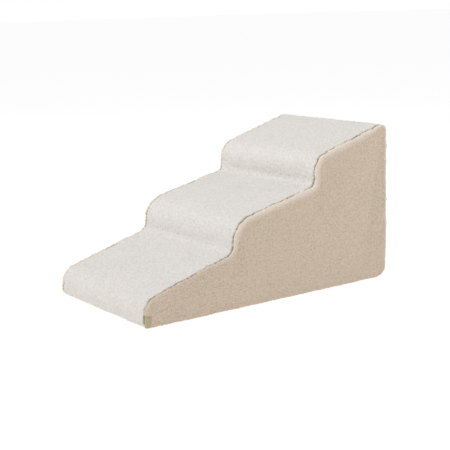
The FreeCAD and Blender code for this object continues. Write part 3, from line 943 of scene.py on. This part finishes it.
def bar_section(half_wide, half_high, radius, count):
    """Loop round a rectangle with rounded corners: count places evenly along its rim."""
    corners = [(-half_wide, -half_high), (-half_wide, half_high), (half_wide, half_high),
               (half_wide, -half_high)]
    track = Track(corners, [radius] * 4, closed=True)
    return track.at(np.arange(count) / count * track.length)[0]


def make_facing_strip():
    """Strip of fleece between the zip's mouth and the base: a bar of rounded section, ends rolled in."""
    low, high = WALL_FOOT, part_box("zip_facing_strip")[1].z - 4.1 * MM
    corner = 2.6 * MM
    begin, end = MOUTH_FRONT + SEAM_GAP, MOUTH_BACK - SEAM_GAP
    x = np.concatenate([begin + corner * (1 - np.cos(np.linspace(0, 1.4, 5))),
                        np.arange(begin + 4 * MM, end - 4 * MM, GRAIN),
                        end - corner * (1 - np.cos(np.linspace(1.4, 0, 5)))])
    inward = np.clip(1 - np.minimum(x - begin, end - x) / (corner), 0, 1)
    shrink = corner * (1 - np.sqrt(1 - inward ** 2))
    thick = SIDE - SIDE_BACK
    loop = bar_section(thick / 2, (high - low) / 2, corner, 44)
    scale_y = 1 - shrink / (thick / 2) * 0.9
    scale_z = 1 - shrink / ((high - low) / 2) * 0.9
    y = (SIDE + SIDE_BACK) / 2 + loop[None, :, 0] * scale_y[:, None]
    z = (low + high) / 2 + loop[None, :, 1] * scale_z[:, None]
    rings = np.stack([x[:, None] + np.zeros_like(y), y, z], axis=-1)
    facing = ease((rings[..., 1] - SIDE_BACK - 1 * MM) / (2 * MM))
    height = curl_height(rings[..., 0] + 0.3, rings[..., 2]) * facing
    rings = rings + ring_normals(rings) * height[..., None]
    rings[..., 2] = np.maximum(rings[..., 2], HEM_CLEAR)
    piece = tube("zip_facing_fleece", rings, rings[..., [0, 2]])
    finish_piece(piece, FLEECE_BEIGE, "fleece_beige", "zip_facing_strip")


# ---- Foam core ----------------------------------------------------------------------------------
def convex_section(node, spacing):
    """Outline of a CAD node seen along Y, as evenly spaced places; the node is convex in that view."""
    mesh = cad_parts[node].data
    points = np.zeros(len(mesh.vertices) * 3, np.float32)
    mesh.vertices.foreach_get("co", points)
    flat = points.reshape(-1, 3)[:, [0, 2]].astype(float)
    hull = flat[geometry.convex_hull_2d([Vector(p) for p in flat])]
    hull = np.vstack([hull, hull[:1]])
    walked = np.concatenate([[0], np.cumsum(np.linalg.norm(np.diff(hull, axis=0), axis=1))])
    even = np.linspace(0, walked[-1], int(walked[-1] / spacing), endpoint=False)
    return np.stack([np.interp(even, walked, hull[:, i]) for i in (0, 1)], axis=1)


def make_foam(node, material, slot):
    """Cut block of foam: its section drawn along Y, softened at the rim, with cells and a cut's wave."""
    spacing = 3.4 * MM
    loop = convex_section(node, spacing)
    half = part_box(node)[1].y - 0.3 * MM
    ends = np.linspace(0, math.pi / 2, 5)
    soft = 1.6 * MM
    y = np.concatenate([-half + soft * (1 - np.cos(ends)),
                        np.arange(-half + 2 * soft, half - 2 * soft, 3.6 * MM),
                        half - soft * (1 - np.cos(ends[::-1]))])
    inward = np.clip(1 - (half - np.abs(y)) / soft, 0, 1)
    inset = 0.3 * MM + soft * (1 - np.sqrt(1 - inward ** 2))
    after, before = np.roll(loop, -1, axis=0), np.roll(loop, 1, axis=0)
    side = (after - before) / np.linalg.norm(after - before, axis=1)[:, None]
    normal = np.stack([side[:, 1], -side[:, 0]], axis=1)
    middle = loop.mean(axis=0)
    if ((loop - middle) * normal).sum() < 0:
        normal = -normal
    flat = loop[None] - normal[None] * inset[:, None, None]
    rings = np.stack([flat[..., 0], y[:, None] + np.zeros(flat.shape[:2]), flat[..., 1]], axis=-1)
    u = np.arange(len(loop))[None, :] * spacing + np.zeros(flat.shape[:2])
    height = 0.10 * MM * lookup(CELLS, u, rings[..., 1]) + 0.12 * MM * lookup(DRAPE, u, rings[..., 1])
    rings = rings + ring_normals(rings) * (height - 0.1 * MM)[..., None]
    piece = tube(node + "_foam", rings, np.stack([u, rings[..., 1]], axis=-1))
    finish_piece(piece, material, slot, node)


# ---- Liner bag ----------------------------------------------------------------------------------
LINER_THICK = 0.5 * MM
LINER_DEPTH = (SIDE - SEAM) + 0.35 * MM      # cover thickness and a little slack
LINER_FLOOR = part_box("liner_wrap")[0].z + 0.05 * MM
LINER_PATH = Track(*outline(LINER_DEPTH, LINER_FLOOR), closed=True)
LINER_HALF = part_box("liner_wrap")[1].y - 0.1 * MM


def make_liner_wrap():
    """Strip of non-woven cloth round the foam, its ends meeting under the core."""
    s = np.arange(0.3 * MM, LINER_PATH.length - 0.3 * MM, 4 * MM)
    points, normals = LINER_PATH.at(s)
    y = np.linspace(-LINER_HALF, LINER_HALF, 74)
    limp = 0.09 * MM * lookup(CREASED, s[:, None] + 0 * y, y[None] + 0 * s[:, None])

    def face(depth):
        return below(points[:, None], normals[:, None], y[None], depth - limp)

    rings = two_faced(face, (0.0, LINER_THICK))
    u = s[:, None] + np.zeros(rings.shape[:2])
    piece = tube("liner_wrap_cloth", rings, np.stack([u, rings[..., 1]], axis=-1))
    finish_piece(piece, NON_WOVEN, "liner", "liner_wrap")


def make_liner_end(side, node):
    """End cloth of the liner: straight rows ruled from the outline down to its lower edge."""
    length = LINER_PATH.length - LINER_PATH.parts[-1][1]
    s = np.linspace(0.4 * MM, length - 0.4 * MM, 330)
    upper, _ = LINER_PATH.at(s)
    spread = 0.5 * (upper[:, 0] - upper[:, 0].min()) / np.ptp(upper[:, 0]) + 0.5 * s / length
    lower_x = upper[0, 0] + (upper[-1, 0] - upper[0, 0]) * (spread - spread[0]) / (spread[-1] - spread[0])
    lower = np.stack([lower_x, np.full_like(lower_x, LINER_FLOOR)], axis=1)
    share = np.linspace(0, 1, 70)[None, :, None]
    flat = upper[:, None] * (1 - share) + lower[:, None] * share
    outer_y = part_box(node)[1].y if side > 0 else -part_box(node)[0].y
    limp = 0.05 * MM * lookup(CREASED, flat[..., 0] + side * 0.2, flat[..., 1])

    def face(depth):
        return np.stack([flat[..., 0], side * (outer_y - depth + limp), flat[..., 1]], axis=-1)

    rings = two_faced(face, (0.15 * MM, LINER_THICK))
    piece = tube(node + "_cloth", rings, rings[..., [0, 2]])
    finish_piece(piece, NON_WOVEN, "liner", node)


# ---- Base ---------------------------------------------------------------------------------------
def make_base():
    """Non-slip base cloth, slightly limp, between the four walls of fleece."""
    low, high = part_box("base_panel")
    x = np.arange(low.x, high.x, 3.5 * MM)
    y = np.linspace(low.y, high.y, 84)
    level = 1.75 * MM + 0.22 * MM * lookup(CREASED, x[:, None] + 0 * y, y[None] + 0 * x[:, None])

    def face(lift):
        return np.stack([x[:, None] + 0 * level, y[None] + 0 * level, level + lift], axis=-1)

    rings = two_faced(face, (0.45 * MM, -0.45 * MM))
    piece = tube("base_cloth", rings, rings[..., :2])
    finish_piece(piece, BASE_WEAVE, "base_cloth", "base_panel")


def dome(segments, profile):
    """Small shape turned round Z from (radius, height) pairs; the last pair is the pole."""
    angle = np.arange(segments) / segments * 2 * math.pi
    rows = [np.stack([r * np.cos(angle), r * np.sin(angle), np.full(segments, h)], axis=1)
            for r, h in profile[:-1]]
    points = np.vstack(rows + [np.array([[0, 0, profile[-1][1]]])])
    faces = []
    for k in range(len(rows) - 1):
        for i in range(segments):
            j = (i + 1) % segments
            here, above = k * segments, (k + 1) * segments
            faces.append((here + i, here + j, above + j, above + i))
    top = (len(rows) - 1) * segments
    faces += [(top + i, top + (i + 1) % segments, len(points) - 1) for i in range(segments)]
    faces.append(tuple(range(segments))[::-1])
    return points, faces


def make_grip_dots():
    """Printed grip dots under the base: domes in staggered rows, the same rows as in the CAD."""
    low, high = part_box("base_panel")
    pitch, radius = 26 * MM, 4 * MM
    rows = int((high.y - low.y - 2 * radius) // pitch)
    columns = int((high.x - low.x - 2 * radius) // pitch)
    row, column = np.meshgrid(np.arange(rows + 1), np.arange(columns + 1), indexing="ij")
    row, column = row.ravel(), column.ravel()
    keep = column < columns + 1 - row % 2
    row, column = row[keep], column[keep]
    x = (low.x + high.x) / 2 + (column - columns / 2 + (row % 2) / 2) * pitch
    y = (row - rows / 2) * pitch
    places = np.stack([x, y, np.full(len(x), 1.45 * MM)], axis=1)
    angle = np.linspace(0, math.pi / 2, 5)
    profile = [(radius * math.cos(a) ** 0.5, 1.4 * MM * math.sin(a)) for a in angle]
    shape, faces = dome(12, profile)
    rng = np.random.default_rng(5)
    size = rng.uniform(0.94, 1.03, len(x))
    turns = np.zeros((len(x), 3, 3))
    turns[:, 0, 0] = size
    turns[:, 1, 1] = -size
    turns[:, 2, 2] = -rng.uniform(0.9, 1.0, len(x))
    dots = copies("base_grip_dots", shape, faces, places, turns)
    finish_piece(dots, GRIP_RUBBER, "base_cloth")


# ---- Zip ----------------------------------------------------------------------------------------
def make_tape(node):
    """Woven zip tape: a thin ribbon, its edge beside the coil a little thicker, gently waved."""
    low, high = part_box(node)
    x = np.arange(low.x, high.x, 2.5 * MM)
    across = np.linspace(low.z + 0.1 * MM, high.z - 0.1 * MM, 15)
    wavy = 0.08 * MM * (np.sin(x[:, None] / (23 * MM)) + np.sin(x[:, None] / (9 * MM) + 1)) * 0.5
    middle = (low.y + high.y) / 2 + wavy + 0 * across

    def face(lift):
        return np.stack([x[:, None] + 0 * middle, middle + lift, across[None] + 0 * middle], axis=-1)

    rings = two_faced(face, (0.18 * MM, -0.18 * MM))
    piece = tube(node + "_weave", rings, rings[..., [0, 2]])
    finish_piece(piece, TAPE_WEAVE, "zip_tape", node)


def make_coil(node, sign, phase):
    """Nylon coil: a tube round a flattened helix.

    The helix is (x, y, z) = (pitch * a / turn, thick * sin a, wide * cos a). The other coil's turns lie
    half a pitch along, so that the two rows of heads interlock.
    """
    low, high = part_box(node)
    pitch, radius = 1.8 * MM, 0.36 * MM
    turns = int((high.x - low.x - 2 * pitch) / pitch)
    per_turn = 12
    a = np.arange(turns * per_turn + 1) / per_turn * 2 * math.pi
    zip_z = low.z if sign > 0 else high.z
    wide = 1.42 * MM
    centre_z = zip_z + sign * (wide - 0.25 * MM + radius)
    centre_y = (low.y + high.y) / 2
    thick = (high.y - low.y) / 2 - radius - 0.05 * MM
    x = low.x + pitch * (1 + a / (2 * math.pi) + phase)
    line = np.stack([x, centre_y + thick * np.sin(a), centre_z - sign * wide * np.cos(a)], axis=1)
    along = np.gradient(line, axis=0)
    along /= np.linalg.norm(along, axis=1)[:, None]
    first = np.cross(along, np.array([1.0, 0, 0]))
    first /= np.linalg.norm(first, axis=1)[:, None]
    second = np.cross(along, first)
    b = np.arange(6) / 6 * 2 * math.pi
    rings = line[:, None] + radius * (first[:, None] * np.cos(b)[None, :, None]
                                      + second[:, None] * np.sin(b)[None, :, None])
    piece = tube(node + "_helix", rings)
    finish_piece(piece, COIL_NYLON, "zip_coil", node)


# ---- Seam thread and label ----------------------------------------------------------------------
def make_stitches(side, node):
    """Short arcs of thread lying across the bottom of a seam's groove: pitch 6 mm, length 3.4 mm."""
    pitch, reach, radius = 6 * MM, 1.9 * MM, 0.38 * MM
    s = np.arange(14 * MM, HEEL_END - 20 * MM, pitch)
    rng = np.random.default_rng(70 + side)
    s = s + rng.uniform(-0.5, 0.5, len(s)) * MM
    points, normals = SKIN.at(s)
    wander = seam_wander(s, 1 if side > 0 else 0)
    along = np.stack([normals[:, 1], -normals[:, 0]], axis=1)
    arc = np.linspace(-1, 1, 7)
    b = np.arange(5) / 5 * 2 * math.pi
    shape = np.stack([arc[:, None] * reach + 0 * b,
                      0.15 * MM + radius * np.cos(b)[None] + 0 * arc[:, None],
                      -0.9 * MM * arc[:, None] ** 2 + radius * np.sin(b)[None]], axis=-1)
    faces = ring_triangles(7, 5).tolist() + [[4, 3, 2, 1, 0], [30, 31, 32, 33, 34]]
    swing = rng.uniform(-0.22, 0.22, len(s))
    turns = np.zeros((len(s), 3, 3))
    turns[:, 0, 0], turns[:, 2, 0] = along[:, 0] * np.cos(swing), along[:, 1] * np.cos(swing)
    turns[:, 1, 0] = np.sin(swing)
    turns[:, 0, 2], turns[:, 2, 2] = normals[:, 0], normals[:, 1]
    turns[:, :, 1] = np.cross(turns[:, :, 2], turns[:, :, 0])
    sink = 1.7 * MM
    places = np.stack([points[:, 0] - normals[:, 0] * sink, side * (SEAM + SEAM_GAP / 2) + side * wander,
                       points[:, 1] - normals[:, 1] * sink], axis=1)
    piece = copies(node + "_stitches", shape.reshape(-1, 3), faces, places, turns)
    finish_piece(piece, SEAM_THREAD, "thread", node)


def make_label():
    """Blank ribbon folded once: out of the corner seam, flat to the fold, and back inside itself."""
    low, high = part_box("side_label")
    apart = 0.5 * MM
    x, y = low.x, low.y
    path = [(x + 3.4 * MM, -SEAM - 0.6 * MM), (x - 0.2 * MM, -SEAM - 3.0 * MM),
            (x + 0.6 * MM, y + 0.2 * MM),
            (high.x - 1 * MM, y - 1.5 * MM), (high.x - 1 * MM, y - 1.5 * MM + 2 * apart),
            (x + 1.5 * MM, y + 1.6 * MM), (x + 1.0 * MM, -SEAM - 3.0 * MM),
            (x + 4.0 * MM, -SEAM - 1.2 * MM)]
    track = Track(path, [0, 1.6 * MM, 1.6 * MM, apart, apart, 0.8 * MM, 0.8 * MM, 0], closed=False)
    s = np.linspace(0, track.length, 70)
    points, normals = track.at(s)
    z = np.linspace(low.z + 0.2 * MM, high.z - 0.2 * MM, 26)
    lean = 0.25 * MM * np.sin(z / (5 * MM))[None, :] * (s / track.length)[:, None]

    def face(lift):
        flat = points + normals * lift
        return np.stack([flat[:, :1] + 0 * z, flat[:, 1:] - lean, z[None] + 0 * lean], axis=-1)

    rings = two_faced(face, (0.11 * MM, -0.11 * MM))
    u = s[:, None] + np.zeros(rings.shape[:2])
    piece = tube("side_label_ribbon", rings, np.stack([u, rings[..., 2]], axis=-1))
    finish_piece(piece, RIBBON_WEAVE, "label_ribbon", "side_label")


def dress_metal():
    """Enamel on the zip's small metal parts, which keep their CAD shapes."""
    for node in ("zip_stops_closed_end", "zip_stop_open_end", "zip_slider", "zip_pull"):
        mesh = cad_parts[node].data
        mesh.materials.clear()
        mesh.materials.append(ZIP_ENAMEL)


# ---- Stage --------------------------------------------------------------------------------------
def make_floor():
    """Plain white floor, lit a little from within so that it stays even."""
    half = 40.0
    points = np.array([(-half, -half, 0), (half, -half, 0), (half, half, 0), (-half, half, 0)])
    floor = add_mesh("studio_floor", points, [(0, 1, 2, 3)], smooth=False)
    pale = Finish("studio_floor", (0.55, 0.55, 0.55), 0.9, Specular_IOR_Level=0.0)
    pale.shader.inputs["Emission Color"].default_value = (1, 1, 1, 1)
    pale.shader.inputs["Emission Strength"].default_value = 0.68
    floor.data.materials.append(pale.material)


def make_light(name, place, aim, size, power, colour=(1, 1, 1)):
    """Round soft light at a place, aimed at a point."""
    lamp = bpy.data.lights.new(name, "AREA")
    lamp.shape = "DISK"
    lamp.size = size
    lamp.energy = power
    lamp.color = colour
    holder = bpy.data.objects.new(name, lamp)
    holder.location = place
    holder.rotation_euler = (Vector(aim) - Vector(place)).to_track_quat("-Z", "Y").to_euler()
    bpy.context.scene.collection.objects.link(holder)


def make_studio():
    """White surround, brightest at the horizon, with soft light from above and from the rear right."""
    world = bpy.data.worlds.new("studio")
    bpy.context.scene.world = world
    world.use_nodes = True
    nodes, links = world.node_tree.nodes, world.node_tree.links
    direction = nodes.new("ShaderNodeTexCoord")
    parts = nodes.new("ShaderNodeSeparateXYZ")
    ramp = nodes.new("ShaderNodeValToRGB")
    ramp.color_ramp.elements[0].position = 0.06
    ramp.color_ramp.elements[0].color = (1, 1, 1, 1)
    ramp.color_ramp.elements[1].position = 0.4
    ramp.color_ramp.elements[1].color = (0.5, 0.5, 0.5, 1)
    links.new(direction.outputs["Generated"], parts.inputs["Vector"])
    links.new(parts.outputs["Z"], ramp.inputs["Fac"])
    links.new(ramp.outputs["Color"], nodes["Background"].inputs["Color"])
    make_light("soft_box_above", (-0.85, 0.2, 2.05), (-0.1, 0, 0.1), 1.6, 26)
    make_light("soft_box_right", (1.3, -1.2, 0.8), (0.26, -0.15, 0.15), 0.8, 6, (1, 0.95, 0.94))
    bpy.context.scene.view_settings.view_transform = "Standard"


def make_camera():
    """Camera at the low front right, a little above the top tread."""
    azimuth, elevation, roll = math.radians(-35.337), math.radians(11.549), math.radians(-1.608)
    target, distance = Vector((0.45 * MM, 0, 118.84 * MM)), 2.0964
    back = Vector((math.sin(azimuth) * math.cos(elevation), -math.cos(azimuth) * math.cos(elevation),
                   math.sin(elevation)))
    right = Vector((math.cos(azimuth), math.sin(azimuth), 0))
    up = back.cross(right)
    level = right * math.cos(roll) + up * math.sin(roll)
    upright = up * math.cos(roll) - right * math.sin(roll)
    turn = Matrix((level, upright, back)).transposed().to_4x4()
    lens = bpy.data.cameras.new("camera")
    lens.sensor_width = 36
    lens.lens = 86.74
    lens.clip_start, lens.clip_end = 0.1, 50
    camera = bpy.data.objects.new("camera", lens)
    camera.matrix_world = Matrix.Translation(target + back * distance) @ turn
    bpy.context.scene.collection.objects.link(camera)
    bpy.context.scene.camera = camera


make_camera()
make_studio()
make_floor()
make_step_panel()
make_back_panel()
make_right_side()
make_left_side()
make_facing_strip()
for level in ("lower", "middle", "upper"):
    make_foam("foam_slab_" + level, FOAM_FIRM, "foam_firm")
    make_foam("tread_pad_" + level, FOAM_SOFT, "foam_soft")
make_liner_wrap()
make_liner_end(-1, "liner_end_right")
make_liner_end(1, "liner_end_left")
make_base()
make_grip_dots()
make_tape("zip_tape_upper")
make_tape("zip_tape_lower")
make_coil("zip_coil_upper", 1, 0.0)
make_coil("zip_coil_lower", -1, 0.5)
make_stitches(-1, "seam_thread_right")
make_stitches(1, "seam_thread_left")
make_label()
dress_metal()
